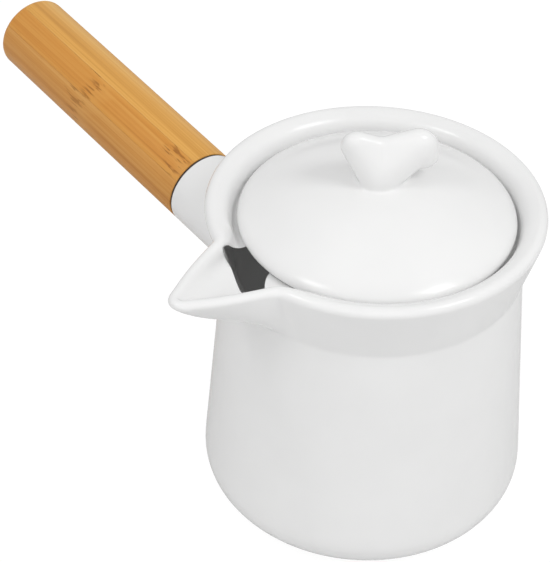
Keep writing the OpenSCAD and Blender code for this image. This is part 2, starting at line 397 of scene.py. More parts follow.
class Graph:
    """Node tree of a material or a world."""

    def __init__(self, owner: bpy.types.ID, shader: str = "Principled BSDF") -> None:
        """Opens the tree.

        Args:
            owner: The material or world.
            shader: Name of its shader node.
        """
        owner.use_nodes = True
        self.owner = owner
        self.tree = owner.node_tree
        self.shader = self.tree.nodes[shader]

    def feed(self, socket: Socket, value: object) -> None:
        """Links another socket into a socket, or sets its value.

        Args:
            socket: The input to feed.
            value: A socket, a number, a vector or a colour.
        """
        if isinstance(value, Socket):
            self.tree.links.new(value, socket)
        elif socket.type == "RGBA":
            socket.default_value = (*value, 1.0)
        else:
            socket.default_value = value

    def add(self, kind: str, inputs: dict[int | str, object] | None = None,
            **settings: object) -> bpy.types.Node:
        """Adds a node.

        Args:
            kind: Its type, without the ShaderNode that each type starts with.
            inputs: Values or sockets for its inputs.
            settings: Property values by name.

        Returns:
            The node.
        """
        node = self.tree.nodes.new("ShaderNode" + kind)
        for name, value in settings.items():
            setattr(node, name, value)
        for key, value in (inputs or {}).items():
            self.feed(node.inputs[key], value)
        return node

    def math(self, operation: str, first: object, second: object = 0.0) -> Socket:
        """Result of an operation on two values or sockets."""
        return self.add("Math", {0: first, 1: second}, operation=operation).outputs[0]

    def scaled(self, vector: Socket, factors: Place, shift: Place = (0, 0, 0)) -> Socket:
        """Vector times the factors of its axes, plus a shift."""
        inputs = {0: vector, 1: factors, 2: shift}
        return self.add("VectorMath", inputs, operation="MULTIPLY_ADD").outputs[0]

    def noise(self, vector: Socket, scale: float, detail: float, rough: float = 0.5) -> Socket:
        """Noise at a place, with its scale, its octaves and the weight of the finer ones."""
        inputs = {"Vector": vector, "Scale": scale, "Detail": detail, "Roughness": rough}
        return self.add("TexNoise", inputs).outputs[0]

    def ramp(self, factor: Socket, positions: Sequence[float], colours: Sequence[Colour]) -> Socket:
        """Colour ramp.

        Args:
            factor: What drives it.
            positions: Positions of its stops.
            colours: Their colours.

        Returns:
            The colour socket.
        """
        node = self.add("ValToRGB", {0: factor})
        elements = node.color_ramp.elements
        while len(elements) < len(positions):
            elements.new(0.5)
        for element, position, colour in zip(elements, positions, colours):
            element.position = position
            element.color = (*colour, 1.0)
        return node.outputs[0]

    def span(self, value: Socket, source: Span, result: Span = (0.0, 1.0)) -> Socket:
        """Smooth ramp of a value from one range to another."""
        inputs = {"Value": value, "From Min": source[0], "From Max": source[1],
                  "To Min": result[0], "To Max": result[1]}
        return self.add("MapRange", inputs, interpolation_type="SMOOTHSTEP").outputs[0]

    def mix(self, factor: Socket, first: object, second: object) -> Socket:
        """Colour between two colours or sockets, by the share of the second one."""
        colours = {0: factor, 6: first, 7: second}  # the node has more inputs named A and B
        return self.add("Mix", colours, data_type="RGBA").outputs[2]

    def object_point(self) -> Socket:
        """Place on the piece, in metres in the part's frame."""
        return self.add("TexCoord").outputs["Object"]

    def axes(self, vector: Socket) -> tuple[Socket, ...]:
        """The three parts of a vector."""
        return tuple(self.add("SeparateXYZ", {0: vector}).outputs)

    def reach(self, vector: Socket) -> Socket:
        """Distance of a place from the pot's axis."""
        flat = self.scaled(vector, (1, 1, 0))
        return self.add("VectorMath", {0: flat}, operation="LENGTH").outputs["Value"]

    def bump(self, height: Socket, strength: float, depth: float) -> None:
        """Gives the shader a bump from a height, with its strength and its depth in millimetres."""
        inputs = {"Strength": strength, "Distance": depth * MM, "Height": height}
        self.feed(self.shader.inputs["Normal"], self.add("Bump", inputs).outputs[0])

    def shade(self, **sockets: object) -> bpy.types.ID:
        """Feeds the shader's sockets.

        Args:
            sockets: Values or sockets by name, with underscores for spaces.

        Returns:
            The finished material or world.
        """
        for name, value in sockets.items():
            self.feed(self.shader.inputs[name.replace("_", " ")], value)
        return self.owner


@dataclass
class HandleAxis:
    """Line of the handle: height on the pot's axis and upward tilt in degrees."""

    height: float = 52.8
    tilt: float = 5.0

    def __post_init__(self) -> None:
        """Finds the line's directions."""
        lean = math.radians(self.tilt)
        self.along = Vector((math.cos(lean), 0, math.sin(lean)))
        self.down = Vector((math.sin(lean), 0, -math.cos(lean)))
        self.side = Vector((0, 1, 0))

    def across(self, turn: float) -> Vector:
        """Direction across the line at a turn in radians, counted from below."""
        return self.down * math.cos(turn) + self.side * math.sin(turn)

    def point(self, distance: float, radius: float = 0.0, turn: float = 0.0) -> Vector:
        """Point at a distance along the line, off it by a radius at a turn in radians."""
        return (Vector((0, 0, self.height)) + self.along * distance
                + self.across(turn) * radius)

    def rotation(self) -> Place:
        """Turn that lays Z along the line."""
        return (0, math.radians(90 - self.tilt), 0)

    def cylinder(self, name: str, radius: float, start: float, end: float,
                 sides: int = 64) -> Piece:
        """Adds a cylinder along the line, between two distances on it."""
        return Bench.add(name, bpy.ops.mesh.primitive_cylinder_add, vertices=sides,
                         radius=radius * MM, depth=(end - start) * MM,
                         location=self.point((start + end) / 2) * MM, rotation=self.rotation())


# Finishes


def darker(colour: Colour, share: float) -> Colour:
    """A colour at a share of its brightness."""
    return tuple(share * part for part in colour)


@dataclass(frozen=True)
class GlazeFinish:
    """Glossy white glaze with a faint cloud in it, and a bare ring under the foot."""

    name: str
    light: Colour = (0.855, 0.855, 0.852)
    shade: Colour = (0.83, 0.83, 0.828)
    cloud_scale: float = 38.0
    gloss: Span = (0.15, 0.2)
    gloss_scale: float = 140.0
    specular: float = 0.32
    wave_scale: float = 55.0
    wave_strength: float = 0.06
    wave_depth: float = 0.6
    clay: Colour = (0.62, 0.585, 0.53)
    clay_scale: float = 1400.0
    clay_dark: float = 0.86
    clay_rough: float = 0.6
    foot_height: float = 0.12
    foot_radius: float = 27.0

    def material(self) -> bpy.types.Material:
        """Builds the glaze.

        Returns:
            The material.
        """
        graph = Graph(bpy.data.materials.new(self.name))
        place = graph.object_point()
        cloud = graph.noise(place, self.cloud_scale, detail=3.0)
        white = graph.ramp(cloud, NOISE_MIDDLE, (self.shade, self.light))
        sheen = graph.noise(place, self.gloss_scale, detail=2.0)
        gloss = graph.span(sheen, NOISE_MIDDLE, self.gloss)
        clay = graph.mix(graph.noise(place, self.clay_scale, detail=3.0), self.clay,
                         darker(self.clay, self.clay_dark))
        low = graph.math("LESS_THAN", graph.axes(place)[2], self.foot_height * MM)
        wide = graph.math("GREATER_THAN", graph.reach(place), self.foot_radius * MM)
        foot = graph.math("MULTIPLY", low, wide)
        rough = graph.math("ADD", gloss, graph.math("MULTIPLY", foot, self.clay_rough))
        wave = graph.noise(place, self.wave_scale, detail=2.0)
        graph.bump(wave, self.wave_strength, self.wave_depth)
        return graph.shade(Base_Color=graph.mix(foot, white, clay), Roughness=rough,
                           Specular_IOR_Level=self.specular)


@dataclass(frozen=True)
class BambooFinish:
    """Oiled bamboo strip, with grain along the handle and the cane's knuckles across it.

    A knuckle is its distance along the handle and its strength. Scales are those of the noise
    across the handle, twice, and along it.
    """

    name: str
    pale: Colour
    tan: Colour
    brown: Colour
    seed: float
    knuckles: tuple[tuple[float, float], ...] = ()
    seed_spread: Place = (1.0, 1.7, 0.3)
    streak_scale: Place = (260, 260, 2.6)
    streak_share: float = 0.62
    fibre_scale: Place = (1500, 1500, 9)
    fibre_share: float = 0.38
    tones: tuple[float, ...] = (0.33, 0.5, 0.66)
    fleck_scale: Place = (3600, 3600, 75)
    fleck_range: Span = (0.62, 0.72)
    fleck_share: float = 0.4
    wander_scale: Place = (220, 220, 60)
    wander: float = 16.0  # how far a knuckle wavers along the strip
    dash_scale: Place = (1150, 1150, 150)
    dash_range: Span = (0.52, 0.6)
    dash_reach: Span = (1.2, 5.5)
    dash_dark: float = 0.7
    halo_shift: float = 5.0  # how far the pale band lies beside a knuckle
    halo_reach: Span = (1.0, 6.0)
    halo_share: float = 0.5
    satin: Span = (0.42, 0.55)
    ior: float = 1.48
    specular: float = 0.3
    bump_strength: float = 0.12
    bump_depth: float = 0.3

    def material(self, axis: HandleAxis) -> bpy.types.Material:
        """Builds the grain, the knuckles and the satin surface.

        Args:
            axis: Line of the handle that the grain follows.

        Returns:
            The material.
        """
        graph = Graph(bpy.data.materials.new(self.name))
        inputs = {"Vector": graph.object_point(), "Location": (0, 0, axis.height * MM),
                  "Rotation": axis.rotation()}
        local = graph.add("Mapping", inputs, vector_type="TEXTURE").outputs[0]
        shift = tuple(self.seed * spread for spread in self.seed_spread)

        def grain(scale: Place, detail: float, rough: float = 0.5) -> Socket:
            """Noise that is drawn out along the handle."""
            return graph.noise(graph.scaled(local, scale, shift), 1.0, detail, rough)

        streak = graph.math("MULTIPLY", grain(self.streak_scale, 3.0, rough=0.55),
                            self.streak_share)
        fibre = grain(self.fibre_scale, 3.0, rough=0.6)
        blend = graph.math("ADD", streak, graph.math("MULTIPLY", fibre, self.fibre_share))
        colour = graph.ramp(blend, self.tones, (self.brown, self.tan, self.pale))
        fleck = graph.span(grain(self.fleck_scale, 2.0), self.fleck_range, (0.0, self.fleck_share))
        colour = graph.mix(fleck, colour, self.brown)
        sway = graph.math("MULTIPLY",
                          graph.math("SUBTRACT", grain(self.wander_scale, 2.0), 0.5),
                          self.wander * MM)
        along = graph.axes(local)[2]
        dash = graph.span(grain(self.dash_scale, 2.0), self.dash_range)
        for distance, strength in self.knuckles:
            offset = graph.math("ADD", graph.math("SUBTRACT", along, distance * MM), sway)
            beside = graph.math("ADD", offset, self.halo_shift * MM)
            halo = self.band(graph, beside, self.halo_reach, self.halo_share * strength)
            colour = graph.mix(halo, colour, self.pale)
            near = self.band(graph, offset, self.dash_reach, strength)
            colour = graph.mix(graph.math("MULTIPLY", near, dash), colour,
                               darker(self.brown, self.dash_dark))
        graph.bump(fibre, self.bump_strength, self.bump_depth)
        return graph.shade(Base_Color=colour, Roughness=graph.span(fibre, NOISE_MIDDLE, self.satin),
                           IOR=self.ior, Specular_IOR_Level=self.specular)

    @staticmethod
    def band(graph: Graph, offset: Socket, reach: Span, strength: float) -> Socket:
        """Strength of a band across the strip, which fades out over a reach on both sides."""
        ends = (reach[0] * MM, reach[1] * MM)
        return graph.span(graph.math("ABSOLUTE", offset), ends, (strength, 0.0))


@dataclass(frozen=True)
class GrainyFinish:
    """Plain material with a fine grain, for the washer and what the handle hides."""

    name: str
    colour: Colour
    metallic: float
    rough: Span
    grain: Place
    dark: float = 0.78
    bump_strength: float = 0.15
    bump_depth: float = 0.2

    def material(self) -> bpy.types.Material:
        """Builds the grain in colour, gloss and bump.

        Returns:
            The material.
        """
        graph = Graph(bpy.data.materials.new(self.name))
        place = graph.scaled(graph.object_point(), self.grain)
        texture = graph.noise(place, 1.0, detail=3.0, rough=0.6)
        tones = (darker(self.colour, self.dark), self.colour)
        graph.bump(texture, self.bump_strength, self.bump_depth)
        return graph.shade(Base_Color=graph.ramp(texture, NOISE_MIDDLE, tones),
                           Roughness=graph.span(texture, NOISE_MIDDLE, self.rough),
                           Metallic=self.metallic)


# Sub-assemblies


@dataclass(frozen=True)
class Row:
    """One row of vertices round the pot: radius, height, zone and how far it is through the zone.

    The share is an angle of the round in radians on the lip, and goes from 0 to 1 in the funnel.
    """

    r: float
    z: float
    zone: Zone
    share: float = 0.0

    def at(self, turn: float) -> Vector:
        """Place of the plain row at a turn in radians from +Y towards +X."""
        return Vector((self.r * math.sin(turn), self.r * math.cos(turn), self.z))


@dataclass
class PotShell:
    """Glazed pot: body, flared collar, rounded lip, pouring spout and handle socket."""

    axis: HandleAxis
    rim_radius: float = 50.0
    height: float = 105.7
    neck: Point = (44.4, 84.5)
    body_radius: float = 49.3
    base_round: float = 13.0
    base_rows: tuple[float, ...] = (0.0, 10.0, 22.0, 31.0)  # radii of the rows under the base
    crease_round: float = 5.0
    wall: float = 5.0
    floor: float = 6.0
    floor_rows: tuple[float, ...] = (24.0, 12.0, 0.0)  # radii of the rows on the floor inside
    columns: int = 240
    sharp_angle: float = 50.0

    # Lip, its inner shoulder, and the ledge that carries the lid
    lip_radius: float = 2.2
    lip_turn: float = 106.0
    lip_steps: int = 9
    shoulder_pull: tuple[float, float] = (3.8, 4.2)  # of its curve at the lip and at the seat
    shoulder_steps: int = 9
    shoulder_lip_rows: int = 3  # its rows that follow the lip along the spout
    seat: Point = (41.7, 98.4)
    seat_lean: float = 18.0  # slope at which the shoulder meets the seat
    seat_round: float = 0.9
    nose_radius: float = 38.6
    nose_round: float = 1.2
    ledge_height: float = 4.0
    ledge_under: tuple[Point, ...] = (
        (39.6, 93.9), (41.8, 93.4), (43.0, 92.2), (42.7, 90.5), (40.9, 84.5), (40.4, 79.5))

    # Spout: half of its crest from the tip on, and the turns at which it runs into the rim
    spout_columns: int = 48
    spout_half_turn: float = 27.0
    crest_half: tuple[Point, ...] = (
        (0.0, 72.6), (1.35, 72.2), (2.3, 71.1), (3.5, 68.8), (5.4, 65.4), (7.8, 60.7),
        (10.0, 55.7), (12.0, 50.6), (13.0, 48.0), (14.4, 46.2))
    crest_turns: tuple[float, ...] = (20.5, 22.5, 24.5)
    lip_thin: float = 0.76  # share of the lip's radius that the spout keeps
    lip_thin_reach: Span = (0.1, 0.4)
    lip_end: Span = (21.0, 27.0)  # turns over which the lip goes back to the rim
    tip_drop: float = 0.8
    tip_drop_reach: Span = (0.1, 1.0)
    channel_end: Span = (19.0, 26.0)  # turns over which the channel ends
    channel_pull: tuple[float, float] = (0.5, 0.45)  # of its curve at the lip and at the ledge
    pull_start: float = 82.6  # height from which the collar is drawn out
    pull_soft: float = 0.24  # share of the way over which the pull sets in
    belly: float = 0.5  # bulge of the spout's underside
    soft_from: float = 74.0  # lowest row that is smoothed
    soft_columns: tuple[int, int] = (40, 51)  # columns over which the smoothing fades out

    # Pour hole: points of its edge, and how the plug leads from them down to the inside
    hole_edge: tuple[Place, ...] = (
        (13.3, 35.0, 98.4), (13.4, 37.6, 98.4), (13.9, 39.5, 98.5), (14.1, 41.6, 99.6),
        (12.6, 44.9, 103.0), (11.3, 47.6, 103.9), (10.4, 47.4, 101.0), (8.0, 47.3, 99.2),
        (5.2, 48.4, 99.0), (2.2, 49.8, 99.0), (-0.6, 51.0, 99.0), (-3.2, 51.9, 99.2),
        (-5.8, 51.3, 99.4), (-7.0, 49.2, 99.2), (-6.5, 46.9, 98.9), (-5.1, 45.2, 98.6),
        (-3.3, 43.6, 98.5), (-1.6, 41.8, 98.4), (0.2, 39.0, 98.4), (2.4, 35.0, 98.4))
    hole_sides: int = 96
    hole_top: float = 112.0
    hole_slope: Place = (0.945, -0.776, -1.0)
    hole_levels: tuple[float, ...] = (97.5, 95.0, 92.0, 89.0, 86.5)
    hole_least_drop: float = 0.2
    hole_wall: float = 2.5  # wall left between the plug and the collar
    hole_turn: Span = (12.0, 21.0)
    hole_spread: float = 8.0  # room that the plug gains inside those turns
    hole_bottom: float = 82.0
    hole_taper: float = 0.85

    # Handle socket
    socket_radius: float = 12.8
    socket_fillet: float = 7.0
    socket_middle: float = 70.0
    socket_face: float = 84.3
    socket_edge: float = 0.8
    socket_root: float = 2.0  # how far the stub goes on into the wall
    socket_sink: float = 0.03  # how far inside the wall its flare starts
    socket_sides: int = 96
    flare_steps: int = 11
    bore_radius: float = 7.5
    bore_depth: float = 28.0
    wall_reach: Span = (20.0, 70.0)  # where the wall is looked for along the handle
    wall_halvings: int = 50

    def __post_init__(self) -> None:
        """Finds the slants of the wall and the line of the spout's crest."""
        self.lip_centre = (self.rim_radius - self.lip_radius, self.height - self.lip_radius)
        out, top = self.lip_centre
        self.slant = math.atan2(self.body_radius - self.neck[0], self.neck[1] - self.base_round)
        self.flare = math.atan2(self.rim_radius - self.neck[0], top - self.neck[1])
        self.funnel = math.atan2(out - self.lip_radius - self.seat[0], top - self.seat[1])
        turns = [math.radians(a) for a in (*self.crest_turns, self.spout_half_turn)]
        half = [*self.crest_half, *((out * math.sin(a), out * math.cos(a)) for a in turns)]
        mirrored = [(-x, y) for x, y in half[:0:-1]]
        both = spline(mirrored + half, 2 * self.spout_columns + 1)
        self.crest = both[self.spout_columns:]
        ahead = np.gradient(both, axis=0)[self.spout_columns:]
        normals = np.stack([-ahead[:, 1], ahead[:, 0]], axis=1)
        self.outward = normals / np.linalg.norm(normals, axis=1)[:, None]

    def rows(self) -> list[Row]:
        """Rows of the wall.

        Returns:
            The rows from the middle of the base out, up, over the lip and down to the floor.
        """
        slant, flare = math.degrees(self.slant), math.degrees(self.flare)
        corner = arc((self.body_radius - self.base_round, self.base_round), self.base_round,
                     -90, slant, steps=10)
        lip = arc(self.lip_centre, self.lip_radius, -flare, self.lip_turn, self.lip_steps)
        crease = rounded(corner[-1], self.neck, lip[0], self.crease_round, steps=4)
        body = [*((r, 0.0) for r in self.base_rows), *corner,
                *straight(corner[-1], crease[0], steps=12), crease[1]]
        collar = crease[2:] + straight(crease[-1], lip[0], steps=11)[:-1]

        nose = arc((self.nose_radius + self.nose_round, self.seat[1] - self.nose_round),
                   self.nose_round, 90, 180, steps=5)
        turn, lean = math.radians(self.lip_turn), math.radians(self.seat_lean)
        ahead = Vector((-math.sin(turn), math.cos(turn))) * self.shoulder_pull[0]
        steep = Vector((math.sin(lean), math.cos(lean))) * self.shoulder_pull[1]
        seat = rounded((self.seat[0] + steep.x, self.seat[1] + steep.y), self.seat, nose[0],
                       self.seat_round, steps=3)
        top, foot = Vector(lip[-1]), Vector(seat[0])
        shoulder = [tuple(pulled([top, top + ahead, foot + steep, foot], k / self.shoulder_steps))
                    for k in range(1, self.shoulder_steps + 1)]
        split = self.shoulder_lip_rows
        turns = [*np.linspace(-flare, self.lip_turn, self.lip_steps + 1),
                 *np.linspace(self.lip_turn, 180 - math.degrees(self.funnel), split + 1)[1:]]
        funnel = shoulder[split:] + seat[1:]

        inner_round = self.base_round - self.wall
        inner = arc((self.body_radius - self.wall - inner_round, self.floor + inner_round),
                    inner_round, slant, -90, steps=7)
        inside = [*straight(seat[-1], nose[0], steps=4), *nose[1:],
                  (self.nose_radius, self.seat[1] - self.ledge_height), *self.ledge_under]
        inside += straight(inside[-1], inner[0], steps=5) + inner[1:]
        inside += [(r, self.floor) for r in self.floor_rows]
        return [*(Row(r, z, Zone.BODY) for r, z in body),
                *(Row(r, z, Zone.COLLAR) for r, z in collar),
                *(Row(r, z, Zone.LIP, math.radians(a))
                  for (r, z), a in zip(lip + shoulder[:split], turns)),
                *(Row(r, z, Zone.FUNNEL, (k + 1) / len(funnel)) for k, (r, z) in enumerate(funnel)),
                *(Row(r, z, Zone.INSIDE) for r, z in inside)]

    def turn(self, column: int) -> float:
        """Turn of a column; the columns crowd together at the spout.

        Args:
            column: The column, counted from the spout's middle.

        Returns:
            Its turn in radians from +Y towards +X.
        """
        near, half, start = self.spout_columns, self.columns // 2, self.spout_half_turn
        size = abs(column)
        degrees = start * size / near
        if size > near:
            degrees = start + (180 - start) * (size - near) / (half - near)
        return math.copysign(math.radians(degrees), column)

    def lip_place(self, row: Row, column: int) -> Vector:
        """Place of a vertex of the lip, which runs out along the spout's crest.

        Args:
            row: Its row.
            column: Its column, counted from the spout's middle.

        Returns:
            The place.
        """
        size, side = abs(column), -1 if column < 0 else 1
        reach = 1 - size / self.spout_columns
        thin = 1 + (self.lip_thin - 1) * smoothstep(*self.lip_thin_reach, reach)
        x, y = self.crest[size] + self.outward[size] * self.lip_radius * math.cos(row.share) * thin
        up = self.height - self.lip_radius * thin * (1 - math.sin(row.share))
        drop = self.tip_drop * smoothstep(*self.tip_drop_reach, reach)
        turn = self.turn(column)
        share = smoothstep(*self.lip_end, abs(math.degrees(turn)))
        return Vector((side * x, y, up - drop)).lerp(row.at(turn), share)

    def channel_place(self, row: Row, column: int, start: Vector, end: Vector) -> Vector:
        """Place of a vertex of the pouring channel, which runs from the lip down to the ledge.

        Args:
            row: Its row.
            column: Its column, counted from the spout's middle.
            start: Where the lip's inner edge lies.
            end: Where the ledge starts.

        Returns:
            The place.
        """
        size, side = abs(column), -1 if column < 0 else 1
        inward = Vector((-side * self.outward[size][0], -self.outward[size][1], 0))
        drop, run = start.z - end.z, (start.xy - end.xy).length
        steep = inward * math.sin(self.funnel) - Vector((0, 0, math.cos(self.funnel)))
        out = Vector((end.x, end.y, 0)).normalized()
        first = start + steep * drop * self.channel_pull[0]
        return pulled([start, first, end + out * run * self.channel_pull[1], end], row.share)

    def place(self, row: Row, column: int, marks: tuple[Row, Row, Row]) -> Vector:
        """Place of a vertex of the finished pot.

        Args:
            row: Its row.
            column: Its column, counted from the spout's middle.
            marks: First and last row of the lip, and last row of the funnel.

        Returns:
            The place.
        """
        turn = self.turn(column)
        if abs(column) >= self.spout_columns or row.zone in (Zone.BODY, Zone.INSIDE):
            return row.at(turn)
        if row.zone is Zone.LIP:
            return self.lip_place(row, column)
        outer, inner, ledge = marks
        if row.zone is Zone.COLLAR:
            rise = max(row.z - self.pull_start, 0) / (outer.z - self.pull_start)
            soft = self.pull_soft
            eased = rise * rise / (2 * soft) if rise < soft else rise - soft / 2
            eased /= 1 - soft / 2
            share = eased * (1 + self.belly * (1 - eased))
            return row.at(turn) + (self.lip_place(outer, column) - outer.at(turn)) * share
        start = self.lip_place(inner, column)
        share = max((row.z - ledge.z) / (inner.z - ledge.z), 0)
        wall = row.at(turn) + (start - inner.at(turn)) * share
        channel = self.channel_place(row, column, start, ledge.at(turn))
        return channel.lerp(wall, smoothstep(*self.channel_end, abs(math.degrees(turn))))

    def pull_spout(self, piece: Piece, rows: list[Row]) -> None:
        """Crowds the columns together at the spout and draws the spout out of the collar.

        Args:
            piece: The spun pot.
            rows: Its rows.
        """
        lip = [row for row in rows if row.zone is Zone.LIP]
        marks = (lip[0], lip[-1], [row for row in rows if row.zone is Zone.FUNNEL][-1])
        profile = np.array([(row.r, row.z) for row in rows])
        group = piece.vertex_groups.new(name="spout")
        drawn = {}
        with Bench.editing(piece) as mesh:
            for vertex in mesh.verts:
                x, y, z = vertex.co / MM
                radius = math.hypot(x, y)
                if radius * MM < Bench.MERGE:
                    continue
                nearest = np.argmin((profile[:, 0] - radius) ** 2 + (profile[:, 1] - z) ** 2)
                row = rows[int(nearest)]
                column = round(math.atan2(x, y) / (2 * math.pi) * self.columns)
                vertex.co = self.place(row, column, marks) * MM
                fade = 1 - smoothstep(*self.soft_columns, abs(column))
                if fade > 0 and row.zone is not Zone.INSIDE and row.z > self.soft_from:
                    drawn[vertex.index] = fade
            bmesh.update_edit_mesh(piece.data)
        for index, fade in drawn.items():
            group.add([index], fade, "REPLACE")

    def wall_distance(self, radius: float, turn: float) -> float:
        """Distance along the handle's line at which a line beside it meets the pot's wall.

        Args:
            radius: How far beside the handle's line.
            turn: At which turn about it.

        Returns:
            The distance.
        """
        low, high = self.wall_reach
        for _ in range(self.wall_halvings):
            middle = (low + high) / 2
            x, y, z = self.axis.point(middle, radius, turn)
            outside = math.hypot(x, y) > self.neck[0] + (self.neck[1] - z) * math.tan(self.slant)
            low, high = (low, middle) if outside else (middle, high)
        return low

    def socket(self) -> Piece:
        """Round socket stub that flares into the pot's wall.

        Returns:
            The stub, without its bore.
        """
        turns = np.linspace(0, 2 * math.pi, self.socket_sides, endpoint=False)
        thin, wide = self.socket_radius, self.socket_radius + self.socket_fillet
        flares = []
        for turn in turns:
            near = self.wall_distance(thin, turn)
            flares.append((
                self.axis.point(self.wall_distance(wide, turn) - self.socket_sink, wide, turn),
                self.axis.point(near, thin, turn),
                self.axis.point(near + self.socket_fillet, thin, turn)))
        rings = [[foot - self.axis.along * self.socket_root for foot, _, _ in flares]]
        for t in np.linspace(0, 1, self.flare_steps):
            rings.append([pulled(controls, float(t)) for controls in flares])
        edge = arc((self.socket_face - self.socket_edge, thin - self.socket_edge),
                   self.socket_edge, 90, 0, steps=5)
        for distance, radius in [(self.socket_middle, thin), *edge]:
            rings.append([self.axis.point(distance, radius, turn) for turn in turns])
        return Bench.loft("socket", rings)

    def pour_hole(self) -> Piece:
        """Slanting plug of the hole from the spout's channel through the ledge to the inside.

        Returns:
            The plug.
        """
        edge = spline(self.hole_edge, self.hole_sides + 1, closed=True)
        around = [Vector(point) for point in edge[:-1]]
        rings = [[Vector((p.x, p.y, self.hole_top)) for p in around], around]
        slope = Vector(self.hole_slope)
        for level in self.hole_levels:
            rise = max(level - self.neck[1], 0)
            plain = self.neck[0] + rise * math.tan(self.flare) - self.hole_wall
            ring = []
            for p in around:
                p = p + slope * max(p.z - level, self.hole_least_drop)
                beside = smoothstep(*self.hole_turn, math.degrees(math.atan2(p.x, p.y)))
                most = plain + self.hole_spread * (1 - beside)
                ring.append(Vector((*(p.xy * min(1.0, most / p.xy.length)), p.z)))
            rings.append(ring)
        rings.append([Vector((p.x * self.hole_taper, p.y * self.hole_taper, self.hole_bottom))
                      for p in rings[-1]])
        return Bench.loft("pour_hole", rings)

    def build(self) -> Piece:
        """Models the pot.

        Returns:
            The piece.
        """
        rows = self.rows()
        piece = Bench.chain("pot_shell", [(row.r, row.z) for row in rows])
        Bench.spin(piece, self.columns)
        self.pull_spout(piece, rows)
        Bench.apply(piece, "SMOOTH", factor=0.5, iterations=3, vertex_group="spout")
        Bench.apply(piece, "SUBSURF", levels=1, render_levels=1, use_limit_surface=False)
        stub = self.socket()
        bore = self.axis.cylinder("bore", self.bore_radius, self.socket_face - self.bore_depth,
                                  self.socket_face + OVERCUT)
        Bench.combine(stub, bore, Combination.CUT)
        Bench.combine(piece, stub, Combination.ADD)
        Bench.combine(piece, self.pour_hole(), Combination.CUT)
        Bench.smooth(piece, self.sharp_angle)
        return piece

    def dress(self, piece: Piece) -> None:
        """Glazes the pot and puts it in the frame.

        Args:
            piece: The pot.
        """
        Bench.coat(piece, GlazeFinish("white_glaze_pot").material())
        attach(piece, Body.POT.value)
        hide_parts("pot")


@dataclass(frozen=True)
class Lobe:
    """Round lump of the knob: its place along the knob, across it and up, and its radius."""

    place: Place
    radius: float


